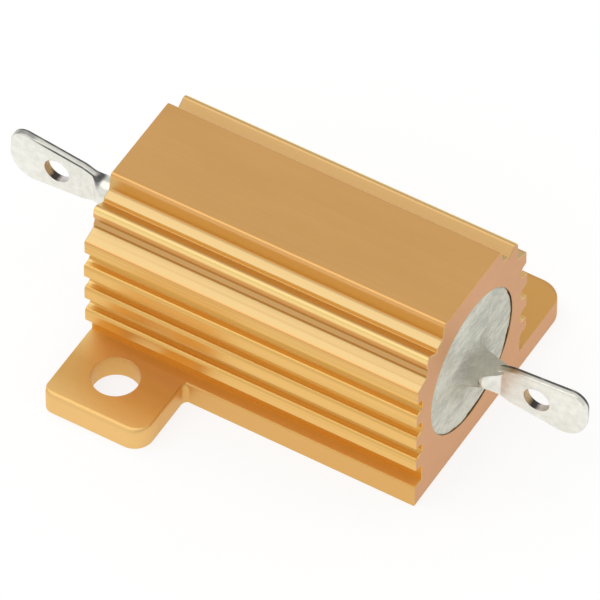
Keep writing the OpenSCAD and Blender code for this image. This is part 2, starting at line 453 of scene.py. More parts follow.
def fin_gold(paint, out, shade):
    """The fins' gold. The grooves between them are painted bright as painted light, and painted
    deeper and darker in their roots as painted shade.
    """
    tips = paint.blend(shade, *TIP_GOLD)
    # Painted light: the groove faces lighter between the fins
    grooves = paint.ramp(out, [(7.05, 0.0), (7.18, 1.0), (7.35, 1.0), (7.55, 0.0)], ACROSS_BODY)
    # Painted shade: the groove roots darker
    roots = paint.ramp(out, [(7.0, 1.0), (7.12, 0.0)], ACROSS_BODY)
    return paint.layers(tips, (grooves, GROOVE_LIGHT_GOLD), (roots, ROOT_SHADE_GOLD))


def foot_gold(paint, y, height, shade):
    """The strip's and the lugs' gold: painted lighter at the left lug's root and end as painted
    light, and darker on the right lug as painted shade."""
    out = abs(y)
    plain = paint.blend(shade, *FOOT_GOLD)
    root = paint.ramp(out, [(7.7, 1.0), (9.8, 0.0)], ACROSS_BODY)
    root = root * (height > LUG_T - 2 * SUNK)
    end = paint.ramp(out / HALF_LUG_SPAN, [(0.83, 0.0), (0.98, 0.6)])
    # Painted light on the left lug's root and end
    lug_light = root.maths("MAXIMUM", end) * (y < 0)
    # Painted shade: the right lug darker
    right = paint.ramp(y / HALF_LUG_SPAN, [(0.4, 0.0), (0.6, 0.5)])
    return paint.layers(plain, (lug_light, LEFT_LUG_LIGHT_GOLD), (right, RIGHT_LUG_SHADE_GOLD))


def die_streaks_and_tip_shade(paint, out, height):
    """Where the die left streaks below the shoulder, and a painted shade line along each fin's
    tip.
    """
    dies = paint.grain(9, 2300, 2300, detail=3, roughness=0.7, seed=5.5)
    streaks = paint.ramp(dies, [(0.47, 0.0), (0.68, 0.4)])
    streaks = streaks * (height < BODY_H - SLOPE_DROP + SUNK)
    place = ((height - LOW_FIN_Z) / FIN_PITCH + 0.5).maths("FRACT")
    # Painted shade: a dark line along each fin's tip
    tip_shade_lines = paint.ramp(place, [(0.66, 0.0), (0.7, 0.35), (0.74, 0.0)])
    tip_shade_lines = tip_shade_lines * (out > FIN_SPAN / 2 - SMALL_R)
    return streaks.maths("MAXIMUM", tip_shade_lines) * (height > LUG_T + SUNK)


def anodised_gold():
    """Satin gold anodising over the lines that the extrusion die leaves.

    It is duller on the strip and the lugs, and the lip of the bore is painted dark as painted
    shade."""
    paint = Paint("anodised_gold")
    _, y, height = paint.axes()
    out = abs(y)
    cloud = paint.grain(90, 260, 260, detail=3)
    lines = paint.grain(25, 3500, 3500, detail=1, seed=3.1)
    specks = paint.grain(9000, 9000, 9000, detail=1, seed=7.7)
    shade = 0.5 * cloud + 0.3 * lines + 0.2 * specks
    flat = paint.blend(shade, *TOP_GOLD)
    on_fins = between(height, LUG_T + SUNK, BODY_H - RIBS_LOW)
    on_foot = height < LUG_T + SUNK
    # Painted shade on the lip of the bore, in the gap by the cement
    in_bore = distance(y, height - BORE_Z) < BORE_R + HOLE_EDGE_R + SUNK
    colour = paint.layers(
        shoulder_gold(paint, y, height, flat, lines),
        (on_fins, fin_gold(paint, out, shade)),
        (on_foot, foot_gold(paint, y, height, shade)),
        # Die streaks, and painted shade lines on the fin tips
        (die_streaks_and_tip_shade(paint, out, height), STREAK_AND_SHADE_GOLD),
        (in_bore * (0.5 + 0.7 * specks), BORE_SHADE_GOLD),
    )
    return paint.surface(
        Base_Color=colour,
        Metallic=1.0,
        Roughness=0.27 + 0.08 * cloud + 0.05 * specks + 0.14 * on_foot,
        Normal=paint.bump(0.6 * lines + 0.4 * specks, 0.004),
    )


def sawn_gold():
    """The body's sawn ends, anodised over a surface that the saw left dull."""
    paint = Paint("sawn_gold")
    cloud = paint.grain(400, 260, 260, detail=3, seed=1.3)
    tooth = paint.grain(6000, 6000, 6000, detail=2, seed=2.6)
    marks = paint.grain(4000, 220, 2600, detail=2, seed=5.9)
    shade = 0.5 * cloud + 0.3 * tooth + 0.2 * marks
    return paint.surface(
        Base_Color=paint.blend(shade, *SAWN_GOLD),
        Metallic=0.6,
        Roughness=0.5 + 0.12 * tooth,
        Normal=paint.bump(0.6 * tooth + 0.4 * marks, 0.012),
    )


def cement():
    """Grey-white cement, mottled and pitted, stained round the pins, and painted lighter towards
    the bottom as painted light.
    """
    paint = Paint("cement")
    x, y, z = paint.axes()
    mottle = paint.grain(800, 380, 1000, detail=5, roughness=0.65)
    warm = paint.grain(300, 300, 300, detail=3, seed=8.1)
    pits = paint.grain(2600, 2600, 2600, detail=2, seed=5.2)
    grit = paint.grain(5000, 2200, 6000, detail=2, seed=1.9)
    # Painted light: the cement lighter towards the bottom
    painted_light_below = paint.ramp((BORE_Z - z) / BORE_R, [(0.2, 0.0), (0.9, 0.08)])
    shade = paint.ramp(0.6 * mottle + 0.4 * grit + painted_light_below, [(0.40, 0.0), (0.60, 1.0)])
    tinge = paint.ramp(warm, [(0.5, 0.0), (0.75, 0.5)])
    reach = distance(y, z - BORE_Z + math.tan(CORE_LEAN) * x) + 2.2 * (mottle - 0.5)
    stain = paint.ramp(reach, [(1.4, 1.0), (2.8, 0.0)], over=(0.0, 5.0))
    colour = paint.layers(
        paint.blend(shade, *CEMENT_GREY),
        (tinge, CEMENT_TAN),
        (0.7 * stain, CEMENT_STAIN),
    )
    return paint.surface(
        Base_Color=colour,
        Roughness=0.75 + 0.15 * pits,
        Normal=paint.bump(0.4 * mottle + 0.4 * pits + 0.2 * grit, 0.14),
    )


def dark_reflection_lines(paint, x, y, rise, rim):
    """Where a tab is painted dark as a painted reflection of dark surroundings: along its corners,
    its back edge, and a patch at the tip.
    """
    at_left = x < 0
    from_tip = TAB_END - abs(x)
    inner = paint.ramp(from_tip, [(0.8, 0.35), (2.4, 1.0)], over=(0.0, 4.0))
    corners = 4 * rim * (1 - rim) * inner * (0.25 + 0.75 * at_left)
    back_stops = [(-0.02, 0.0), (0.08, 0.95)]
    back = paint.ramp(y - 0.06 * at_left, back_stops, over=(-0.5, 0.5)) * (rim > 0.8)
    past_corner = rise - TAB_W / 2 - from_tip
    # Painted dark reflection at the tip's upper corner
    tip_dark_reflection = paint.ramp(past_corner, [(-1.6, 0.0), (-0.8, 0.6)], over=(-4.0, 0.0))
    tip_dark_reflection = tip_dark_reflection * paint.ramp(rim, [(0.4, 0.0), (0.8, 1.0)])
    upper = paint.ramp(rise, [(-0.64, 0.3), (0.64, 1.0)], over=(-4.0, 4.0))
    return corners.maths("MAXIMUM", back).maths("MAXIMUM", tip_dark_reflection) * upper


def gold_reflection_at_root(paint, x, rise, rim):
    """Where the right tab is painted brown, at the top of its root, as a painted reflection of the
    gold housing.
    """
    root_stops = [(0.4, 1.0), (2.0, 0.0)]
    root = paint.ramp(abs(x) - TAB_START, root_stops, over=(0.0, 4.0)) * (1 - (x < 0))
    root = root * paint.ramp(rise, [(0.7, 0.0), (1.2, 0.9)], over=(0.0, 2.0))
    return root * paint.ramp(rim, [(0.2, 0.1), (0.8, 1.0)])


def bright_tin():
    """Hot tinning: bright, softly rippled, and dulled by handling, with painted dark reflections
    along its edges and a painted reflection of the gold at the right tab's root.
    """
    paint = Paint("bright_tin")
    x, y, z = paint.axes()
    rise = z - BORE_Z
    rim = paint.node("ShaderNodeAttribute", out="Fac", attribute_name="rim")
    ripple = paint.grain(700, 700, 500, detail=2)
    bloom = paint.grain(260, 260, 260, detail=4, seed=4.4)
    spots = paint.grain(1800, 1800, 1800, detail=3, seed=6.6)
    shade = paint.ramp(0.5 * bloom + 0.5 * spots, [(0.36, 0.0), (0.62, 1.0)])
    # Painted dark reflections along the tab's edges
    dark = dark_reflection_lines(paint, x, y, rise, rim) * (0.45 + spots)
    colour = paint.layers(
        paint.blend(shade, *TIN),
        # Painted reflection of the gold at the right tab's root
        (gold_reflection_at_root(paint, x, rise, rim), GOLD_REFLECTION_BROWN),
        (paint.ramp(dark, [(0.2, 0.0), (0.9, 1.0)]), TIN_DARK_REFLECTION),
    )
    return paint.surface(
        Base_Color=colour,
        Metallic=1.0,
        Roughness=0.22 + 0.16 * bloom,
        Normal=paint.bump(ripple, 0.03),
    )


def pierced_edge():
    """The wiring holes' walls, where the punch tore the metal and little tin took.

    Along the part each wall goes from tan, a painted reflection of the gold, over black painted
    shadow to bare metal."""
    paint = Paint("pierced_edge")
    x = paint.axes()[0]
    torn = paint.grain(1500, 4000, 1500, detail=3, seed=9.3)
    from_middle = abs(x - CORE_SHIFT) - TAB_HOLE_X * math.cos(CORE_LEAN)
    along = from_middle * (1 - 2 * (x < 0))
    place = along / (2 * TAB_HOLE_R) + 0.5 + 0.2 * (torn - 0.5)
    # The tan end is a painted reflection of the gold
    bare = paint.ramp(place, [(0.2, 0.0), (0.6, 1.0)])
    # Painted shadow across the hole wall
    black = paint.ramp(place, [(0.12, 0.0), (0.26, 1.0), (0.42, 1.0), (0.58, 0.0)])
    colour = paint.layers(
        paint.blend(bare, *HOLE_REFLECTION_AND_METAL),
        (0.92 * black, HOLE_SHADOW_BLACK),
    )
    return paint.surface(
        Base_Color=colour,
        Metallic=1.0,
        Roughness=0.4 + 0.2 * torn,
        Normal=paint.bump(torn, 0.03),
    )


def steatite():
    """Fired white ceramic with a fine tooth."""
    paint = Paint("steatite")
    tooth = paint.grain(3000, 3000, 3000, detail=2)
    return paint.surface(
        Base_Color=paint.blend(tooth, *STEATITE_WHITE),
        Roughness=0.55 + 0.1 * tooth,
        Normal=paint.bump(tooth, 0.01),
    )


def drawn_metal(name, dark, light):
    """Plain drawn or pressed metal, with fine lines along X."""
    paint = Paint(name)
    lines = paint.grain(60, 4000, 4000, detail=2)
    return paint.surface(
        Base_Color=paint.blend(lines, dark, light),
        Metallic=1.0,
        Roughness=0.3 + 0.1 * lines,
        Normal=paint.bump(lines, 0.005),
    )


# --- Outlines ----------------------------------------------------------------------------


def spaced(start, end, steps):
    """Evenly spaced numbers from start to end."""
    return [start + (end - start) * i / steps for i in range(steps + 1)]


def angles_round(count):
    """Even angles round a circle."""
    return spaced(0, 2 * math.pi, count)[:-1]


def circle(radius, count, x=0.0, y=0.0):
    angles = angles_round(count)
    return [Vector((x + radius * math.cos(a), y + radius * math.sin(a))) for a in angles]


def round_corner(a, b, c, radius, steps):
    """The corner b between a and c, replaced by an arc."""
    if radius == 0:
        return [b]
    u, v = (a - b).normalized(), (c - b).normalized()
    half = u.angle(v) / 2
    middle = b + (u + v).normalized() * radius / math.sin(half)
    spoke = b + u * radius / math.tan(half) - middle
    turn = math.copysign(math.pi - 2 * half, -u.cross(v))
    return [middle + Matrix.Rotation(turn * i / steps, 2) @ spoke for i in range(steps + 1)]


def rounded(corners, steps):
    """An outline of (x, y, radius) corners, with every corner rounded."""
    points = [Vector(corner[:2]) for corner in corners]
    count = len(points)
    outline = []
    for i, corner in enumerate(corners):
        ends = points[i - 1], points[i], points[(i + 1) % count]
        outline += round_corner(*ends, corner[2], steps)
    return outline


def shoulder():
    """One side of the section, from the flat top down to the slope on the top fin."""
    ledge_y = TOP_W / 2 + LEDGE_W
    ledge_z = BODY_H - LEDGE_DROP
    rib_y = RIB_SPAN / 2
    crest_z = BODY_H - RIB_DROP
    face_z = crest_z - RIB_FACE_H
    neck_z = face_z - RIB_R - NECK_H
    return [
        (TOP_W / 2, BODY_H, TOP_R),
        (TOP_W / 2 + LEDGE_W / 4, ledge_z, LEDGE_R),
        (ledge_y, ledge_z - LEDGE_FALL, SMALL_R),
        (ledge_y + SMALL_R / 2, BODY_H - CHANNEL_DROP, SMALL_R / 2),
        (rib_y - RIB_CREST_W, crest_z, RIB_CREST_R),
        (rib_y, crest_z, RIB_CREST_R),
        (rib_y, face_z, RIB_R),
        (NECK_SPAN / 2, face_z - RIB_R, SMALL_R),
        (NECK_SPAN / 2, neck_z, SMALL_R),
        (SLOPE_SPAN / 2, neck_z - NECK_STEP_H, SMALL_R),
        (SLOPE_SPAN / 2, BODY_H - SLOPE_DROP, SMALL_R),
    ]


def fin(z, tip_y, is_top):
    """One fin about the height z. The top fin's upper side is the slope from the neck."""
    root = [] if is_top else [(GROOVE_SPAN / 2, z + FIN_ROOT_T / 2, GROOVE_R)]
    upper_r = FIN_LOW_R if is_top else FIN_TIP_R
    return root + [
        (tip_y, z + FIN_TIP_T / 2, upper_r),
        (tip_y, z - FIN_TIP_T / 2, FIN_LOW_R),
        (GROOVE_SPAN / 2, z - FIN_ROOT_T / 2, GROOVE_R),
    ]


def section():
    """The extrusion's outline across the leads, in Y and Z."""
    side = shoulder()
    for i in reversed(range(FIN_COUNT)):
        is_top = i == FIN_COUNT - 1
        span = TOP_FIN_SPAN if is_top else FIN_SPAN
        side += fin(LOW_FIN_Z + i * FIN_PITCH, span / 2, is_top)
    side += [
        (GROOVE_SPAN / 2, LUG_T, 0),
        (STRIP_W / 2, LUG_T, STRIP_EDGE_R),
        (STRIP_W / 2, 0, 0),
    ]
    other_side = [(-y, z, radius) for y, z, radius in side]
    return rounded(side[::-1] + other_side, SECTION_STEPS)


def lug_plan(end_r):
    """The right lug seen from above, with a root that reaches in under the lowest fin."""
    lug_x = HALF_BODY - LUG_L
    root_x = lug_x - 2 * LUG_ROOT_R
    edge_y = STRIP_W / 2 - SUNK
    corners = [
        (HALF_BODY - SUNK, GROOVE_SPAN / 2, 0),
        (HALF_BODY - SUNK, HALF_LUG_SPAN, end_r),
        (lug_x, HALF_LUG_SPAN, LUG_R),
        (lug_x, edge_y, LUG_ROOT_R),
        (root_x, edge_y, 0),
        (root_x, GROOVE_SPAN / 2, 0),
    ]
    return rounded(corners, LUG_STEPS)


# --- Shaping -----------------------------------------------------------------------------

# Stands on the element's axis what is drawn along +Z about the origin
ON_AXIS = (
    Matrix.Translation((CORE_SHIFT, 0, BORE_Z))
    @ Matrix.Rotation(math.radians(90) + CORE_LEAN, 4, "Y")
)


def add_object(name, data):
    """Puts a new object in the scene for a mesh, a lamp or a camera."""
    made = bpy.data.objects.new(name, data)
    bpy.context.collection.objects.link(made)
    return made


class Shape(Tree):
    """A geometry tree with named sizes that works on a piece's drawn wires."""

    def __init__(self, name, **sizes):
        super().__init__(bpy.data.node_groups.new(name, "GeometryNodeTree"))
        self.sizes = {key.replace("_", " ").capitalize(): size for key, size in sizes.items()}
        sockets = self.tree.interface
        sockets.new_socket("Wires", in_out="INPUT", socket_type="NodeSocketGeometry")
        for label in self.sizes:
            sockets.new_socket(label, in_out="INPUT", socket_type="NodeSocketFloat")
        sockets.new_socket("Mesh", in_out="OUTPUT", socket_type="NodeSocketGeometry")
        given = self.node("NodeGroupInput").socket.node.outputs
        self.wires, *values = [Value(self, socket) for socket in given[: len(sizes) + 1]]
        for key, value in zip(sizes, values):
            setattr(self, key, value)

    def vector(self, x=0.0, y=0.0, z=0.0):
        return self.node("ShaderNodeCombineXYZ", {0: x, 1: y, 2: z})

    def marked(self, label, kind):
        """The attribute of that name and kind that the drawn wires carry."""
        return self.node("GeometryNodeInputNamedAttribute", {0: label}, data_type=kind)

    def moved(self, shape, turn=(0.0, 0.0, 0.0), **place):
        """The shape turned by angles in degrees, and moved."""
        inputs = {
            "Geometry": shape,
            "Translation": self.vector(**place),
            "Rotation": tuple(math.radians(angle) for angle in turn),
        }
        return self.node("GeometryNodeTransform", inputs)

    def offset(self, place, outward, distance, height=0.0):
        """The place, moved by a distance along its outward direction and lifted."""
        step = self.node("ShaderNodeVectorMath", {0: outward, 3: distance}, operation="SCALE")
        moved = self.node("ShaderNodeVectorMath", {0: place, 1: step}, operation="ADD")
        lift = self.vector(z=height)
        return self.node("ShaderNodeVectorMath", {0: moved, 1: lift}, operation="ADD")

    def cap(self, outline, inset, height):
        """The face that closes a rounded solid, at the height."""
        outward = self.marked("outward", "FLOAT_VECTOR")
        place = self.offset(self.node("GeometryNodeInputPosition"), outward, -inset)
        placed = self.node("GeometryNodeSetPosition", {0: outline, "Position": place})
        curve = self.node("GeometryNodeMeshToCurve", {0: placed})
        return self.moved(self.node("GeometryNodeFillCurve", {0: curve}, mode="NGONS"), z=height)

    def rounded_solid(self, label, height, low_edge, high_edge):
        """A drawn outline raised to a solid with rounded rims. A negative one flares out.

        Its wall is a grid, with a column for each of the outline's points, and rows that go
        round the low rim and then round the high one."""
        inputs = {0: self.wires, 1: self.marked(label, "BOOLEAN")}
        outline = self.node("GeometryNodeSeparateGeometry", inputs, domain="POINT")
        count = self.node("GeometryNodeAttributeDomainSize", {0: outline}, component="MESH")
        rows = 2 * RIM_STEPS + 2
        grid = self.node("GeometryNodeMeshGrid", {"Vertices X": count + 1, "Vertices Y": rows})
        index = self.node("GeometryNodeInputIndex")
        column = ((index + 0.5) / rows).maths("FLOOR")
        row = index - column * rows

        def sampled(field):
            inputs = {0: outline, 1: field, 2: column.maths("MODULO", count)}
            return self.node("GeometryNodeSampleIndex", inputs, data_type="FLOAT_VECTOR")

        place = sampled(self.node("GeometryNodeInputPosition"))
        outward = sampled(self.marked("outward", "FLOAT_VECTOR"))
        quarter = math.pi / 2 / RIM_STEPS
        low_turn = row.maths("MINIMUM", RIM_STEPS) * quarter
        high_turn = (rows - 1 - row).maths("MINIMUM", RIM_STEPS) * quarter
        inset = low_edge * (1 - low_turn.maths("SINE")) + high_edge * (1 - high_turn.maths("SINE"))
        low = abs(low_edge) * (1 - low_turn.maths("COSINE"))
        high = height - abs(high_edge) * (1 - high_turn.maths("COSINE"))
        level = low + (row > RIM_STEPS) * (high - low)
        where = self.offset(place, outward, -inset, level)
        wall = self.node("GeometryNodeSetPosition", {0: grid, "Position": where})
        base = self.node("GeometryNodeFlipFaces", {0: self.cap(outline, low_edge, 0.0)})
        parts = [wall, base, self.cap(outline, high_edge, height)]
        joined = self.node("GeometryNodeJoinGeometry", {0: parts})
        return self.node("GeometryNodeMergeByDistance", {0: joined, "Distance": SAME_PLACE})

    def combined(self, operation, first, *others):
        """The union of all the solids, or what the others leave of the first."""
        is_cut = operation == "DIFFERENCE"
        inputs = {0: first, 1: list(others)} if is_cut else {1: [first, *others]}
        settings = {"operation": operation, "solver": "EXACT"}
        return self.node("GeometryNodeMeshBoolean", inputs, **settings)

    def grow(self, shape, wires, finishes):
        """Ends the tree and returns the plain mesh that it makes of the wires."""
        shape = self.node("GeometryNodeRealizeInstances", {0: shape})
        for material, faces in finishes:
            inputs = {"Geometry": shape, "Selection": faces, "Material": material}
            shape = self.node("GeometryNodeSetMaterial", inputs)
        self.node("NodeGroupOutput", {0: shape})
        host = add_object(self.tree.name, wires)
        grown = host.modifiers.new("shape", "NODES")
        grown.node_group = self.tree
        for socket in self.tree.interface.items_tree:
            if socket.name in self.sizes:
                grown[socket.identifier] = float(self.sizes[socket.name])
        return plain_mesh(host)


def drawn_wires(name, **outlines):
    """A mesh of closed wires, each marked by an attribute of its name.

    Every point also gets the direction in which the outline grows there. A lug doesn't
    grow towards its end of the body, where the saw leaves a square edge, and little
    towards the middle, which a cutter leaves nearly as sharp."""
    made = bmesh.new()
    marks = {label: made.verts.layers.bool.new(label) for label in outlines}
    outward = made.verts.layers.float_vector.new("outward")
    for label, outline in outlines.items():
        count = len(outline)
        points = [made.verts.new((*point, 0)) for point in outline]
        for i, point in enumerate(points):
            before = (outline[i] - outline[i - 1]).normalized()
            after = (outline[(i + 1) % count] - outline[i]).normalized()
            spread = (before + after) / (1 + before.dot(after))
            along_body = spread.y
            if label.endswith("lug"):
                along_body *= 0 if spread.y * point.co.x > 0 else LUG_SIDE_SHARE
            point[outward] = (along_body, -spread.x, 0)
            point[marks[label]] = True
            made.edges.new((point, points[(i + 1) % count]))
    return mesh_of(made, name)


def plain_mesh(host):
    """What an object's modifiers make of it, as a mesh. The object goes."""
    bpy.context.view_layer.update()
    evaluated = host.evaluated_get(bpy.context.evaluated_depsgraph_get())
    mesh = bpy.data.meshes.new_from_object(evaluated)
    bpy.data.objects.remove(host)
    if None in list(mesh.materials):
        mesh.materials.pop(index=list(mesh.materials).index(None))
    return mesh


def loft(rings, is_loop=False, rims=()):
    """A closed skin over rings of points. Its ends are capped, or joined into a loop.

    A cap is a strip of faces across the ring. rims gives each ring's points their level of
    the attribute "rim"."""
    made = bmesh.new()
    rim = made.verts.layers.float.new("rim")
    rows = [[made.verts.new(point) for point in ring] for ring in rings]
    for row, levels in zip(rows, rims):
        for point, level in zip(row, levels):
            point[rim] = level
    following = rows[1:] + rows[:1] if is_loop else rows[1:]
    for row, next_row in zip(rows, following):
        for i in range(len(row)):
            made.faces.new((row[i - 1], row[i], next_row[i], next_row[i - 1]))
    if not is_loop:
        for row in (rows[0], rows[-1]):
            for i in range(len(row) // 2 - 1):
                made.faces.new((row[i], row[i + 1], row[-2 - i], row[-1 - i]))
    bmesh.ops.remove_doubles(made, verts=made.verts, dist=SAME_PLACE)
    bmesh.ops.recalc_face_normals(made, faces=made.faces)
    return made


def mesh_of(made, name, *materials):
    """The mesh of what has been made, with its materials."""
    mesh = bpy.data.meshes.new(name)
    made.to_mesh(mesh)
    made.free()
    for material in materials:
        mesh.materials.append(material)
    return mesh


def finish_piece(name, mesh, stands_for, crease=CREASE):
    """Brings a piece to metres, smooths it up to the crease, and lets it replace a node."""
    mesh.transform(Matrix.Scale(MM, 4))
    mesh.shade_smooth()
    mesh.set_sharp_from_angle(angle=math.radians(crease))
    host = add_object(name, mesh)
    shaded = host.modifiers.new("flat_faces", "WEIGHTED_NORMAL")
    shaded.weight = 100
    shaded.keep_sharp = True
    made = add_object(name, plain_mesh(host))
    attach(made, "root")
    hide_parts(stands_for)


# --- Housing -----------------------------------------------------------------------------


def finned_housing():
    """The extruded body with its two lugs, cut to length, bored and drilled."""
    hole_x = HALF_BODY - HOLE_END
    hole_y = HALF_LUG_SPAN - HOLE_EDGE
    wires = drawn_wires(
        "housing_outlines",
        section=section(),
        right_lug=lug_plan(RIGHT_LUG_END_R),
        left_lug=[-point for point in lug_plan(LEFT_LUG_END_R)],
        bore=circle(BORE_R, BORE_POINTS, y=BORE_Z),
        hole=circle(HOLE_R, HOLE_POINTS, hole_x, hole_y),
        other_hole=circle(HOLE_R, HOLE_POINTS, -hole_x, -hole_y),
    )
    tree = Shape(
        "finned_extrusion",
        body_length=BODY_L,
        lug_height=LUG_T - 2 * SUNK,
        drill_length=LUG_T + 2 * SUNK,
        cut_edge=CUT_EDGE_R,
        lug_edge=LUG_EDGE_R,
        hole_edge=HOLE_EDGE_R,
    )

    def along_x(shape, length):
        return tree.moved(shape, turn=(90, 0, 90), x=-length / 2)

    cut, flare = tree.cut_edge, -tree.hole_edge
    bar = tree.rounded_solid("section", tree.body_length, cut, cut)
    lugs = [
        tree.moved(tree.rounded_solid(label, tree.lug_height, cut, tree.lug_edge), z=SUNK)
        for label in ("right_lug", "left_lug")
    ]
    bore_length = tree.body_length + 2 * SUNK
    borer = tree.rounded_solid("bore", bore_length, flare, flare)
    drills = [
        tree.moved(tree.rounded_solid(label, tree.drill_length, flare, flare), z=-SUNK)
        for label in ("hole", "other_hole")
    ]
    body = tree.combined("UNION", along_x(bar, tree.body_length), *lugs)
    body = tree.combined("DIFFERENCE", body, along_x(borer, bore_length), *drills)

    # The sawn faces are those at the body's ends that look along X
    place_x = tree.node("ShaderNodeSeparateXYZ", {0: tree.node("GeometryNodeInputPosition")})
    facing_x = tree.node("ShaderNodeSeparateXYZ", {0: tree.node("GeometryNodeInputNormal")})
    is_sawn = (abs(facing_x) > 0.99) * (abs(place_x) > HALF_BODY - 0.01)
    mesh = tree.grow(body, wires, [(anodised_gold(), True), (sawn_gold(), is_sawn)])
    finish_piece("finned_housing", mesh, "housing")


# --- Cement ------------------------------------------------------------------------------

# Points round each ring, rings across a face, and the sleeve's rings: the radius of each,
# and its share of the way down the sleeve
AROUND = 144
ACROSS = 26
SLEEVE_FOOT_R = 2.3
SLEEVE = [(1.85, 0.06), (1.6, 0.2), (1.46, 0.45), (1.36, 0.7), (1.28, 0.9), (1.2, 1.0)]

# How quickly each kind of unevenness changes from place to place
WAVE_SCALE = 0.7
TOOTH_SCALE = 2.9
GAP_SCALE = 3.3
SLEEVE_SCALE = 1.7


def axis_ring(s, radius, lift=None):
    """A ring about the element's axis. lift moves each point along it."""
    ring = []
    for a in angles_round(AROUND):
        rise = lift(a) if lift else 0.0
        ring.append(ON_AXIS @ Vector((radius * math.cos(a), radius * math.sin(a), s + rise)))
    return ring


def bore_ring(x, radius):
    """A ring about the bore's axis, in step with the rings about the element's."""
    angles = angles_round(AROUND)
    return [Vector((x, radius * math.sin(a), BORE_Z - radius * math.cos(a))) for a in angles]


def cement_end(side):
    """The rings of one face, from the bore's wall to the sleeve on the pin and down it."""
    face_x = side * (HALF_BODY - CEMENT_DROP)
    face_s = (face_x - CORE_SHIFT) / math.cos(CORE_LEAN)
    smear_l = SMEAR_L if side > 0 else 0

    def raised(ring):
        """The ring, moved along X by slow waves and a quick tooth."""
        rough = []
        for point in ring:
            wave = noise.noise(point * WAVE_SCALE)
            tooth = noise.noise(point * TOOTH_SCALE + Vector((7, 3, side)))
            height = CEMENT_WAVE * wave + CEMENT_TOOTH * tooth
            rough.append(point + Vector((side * height, 0, 0)))
        return rough

    def ragged(a, scale):
        """Noise round the axis, where scale sets how often it changes."""
        return noise.noise(Vector((math.cos(a), math.sin(a), 4 * side)) * scale)

    def gap_depth(a):
        return max(GAP_LEAST, GAP_DEPTH + GAP_RAGGED * ragged(a, GAP_SCALE))

    def sleeve_length(a):
        upper = max(-math.cos(a), 0) ** 3
        return SLEEVE_L + SLEEVE_RAGGED * ragged(a, SLEEVE_SCALE) + smear_l * upper

    wall = raised(bore_ring(face_x, BORE_R - WALL_SUNK))
    depths = [Vector((side * gap_depth(a), 0, 0)) for a in angles_round(AROUND)]
    rim = bore_ring(face_x, BORE_R - RIM_GAP)
    foot = axis_ring(face_s, SLEEVE_FOOT_R)
    rings = [[point - depth for point, depth in zip(wall, depths)]]
    for i in range(ACROSS + 1):
        rings.append(raised(a.lerp(b, i / ACROSS) for a, b in zip(rim, foot)))
    for radius, share in SLEEVE:
        rings.append(raised(axis_ring(face_s, radius, lambda a: side * share * sleeve_length(a))))
    rings.append(axis_ring(face_s - side * SLEEVE_SUNK, PIN_R))
    return rings


def cement_filling():
    """Cement with two trowelled faces, cast round the element."""
    cap_front = CORE_L / 2 - CAP_SKIRT
    coil_space = CORE_R + 2 * (WIRE_R + WIRE_SEAT)
    half = [(CAP_BACK, PIN_R), (CAP_BACK, CAP_R), (cap_front, CAP_R), (cap_front, coil_space)]
    inside = [axis_ring(s, radius) for s, radius in half]
    inside += [axis_ring(-s, radius) for s, radius in reversed(half)]
    made = loft(cement_end(1) + inside + cement_end(-1)[::-1], is_loop=True)
    mesh = mesh_of(made, "cement_filling", cement())
    finish_piece("cement_filling", mesh, "insulating_filling")


# --- Solder tabs -------------------------------------------------------------------------

# Where the plain pin has rings, how much faster than the thickness its rounding grows,
# and how far the punch reaches past the tab's faces
PIN_RINGS = [CAP_BACK, 12, 14]
ROUNDING_GROWTH = 1.2
PUNCH_PAST = 0.5


def half_width(s):
    """Half the width of a terminal, s along the element's axis."""
    shoulder_end = TAB_START + TAB_SHOULDER_L
    if s <= shoulder_end:
        share = max((s - TAB_START + WIDENING_LEAD) / (TAB_SHOULDER_L + WIDENING_LEAD), 0)
        return PIN_R + (TAB_SHOULDER_W / 2 - PIN_R) * share
    share = (s - shoulder_end) / (TAB_END - shoulder_end)
    return TAB_SHOULDER_W / 2 + (TAB_W - TAB_SHOULDER_W) / 2 * share


def flatness(s):
    """How far the press has flattened it there, from 0 on the pin to 1 on the tab."""
    share = min(max((s - SQUASH_START) / (SQUASH_END - SQUASH_START), 0), 1)
    return share * share * (3 - 2 * share)


def terminal_edge(tip_r, end):
    """Places along one edge: s, the half width, and the edge's outward direction."""
    blade_end = end - tip_r
    squash = spaced(SQUASH_START, SQUASH_END, SQUASH_STEPS)
    blade = spaced(SQUASH_END, blade_end, BLADE_STEPS)[1:-1]
    edge = [(s, half_width(s), Vector((0, 1))) for s in PIN_RINGS + squash + blade]
    slope = math.atan((TAB_W - TAB_SHOULDER_W) / 2 / (TAB_END - TAB_START - TAB_SHOULDER_L))
    tip_w = half_width(TAB_END) - tip_r * math.tan((math.pi / 2 + slope) / 2)
    for a in spaced(-slope, math.pi / 2, TIP_STEPS):
        out = Vector((math.sin(a), math.cos(a)))
        edge.append((blade_end + tip_r * out.x, tip_w + tip_r * out.y, out))
    return edge


def terminal_side(place, side):
    """Points round one edge of a terminal. side is 1 on its lower edge, -1 on its upper."""
    s, half_w, out = place
    half_t = PIN_R + (TAB_T / 2 - PIN_R) * flatness(s)
    radius = min(half_t, TAB_EDGE_R + ROUNDING_GROWTH * (half_t - TAB_T / 2))
    turns = spaced(0, math.pi / 2, EDGE_STEPS)
    points = []
    for sign, angles in ((1, turns), (-1, turns[::-1])):
        for a in angles:
            pull = out * radius * (1 - math.sin(a))
            thick = sign * (half_t - radius + radius * math.cos(a))
            points.append(Vector((side * (half_w - pull.y), thick, s - pull.x)))
    return points[::side]


def terminal_rims(s):
    """How far each point of a ring is round a corner, from 0 on a face to 1 on the edge."""
    arc = spaced(0, flatness(s), EDGE_STEPS)
    return 2 * (arc + arc[::-1])


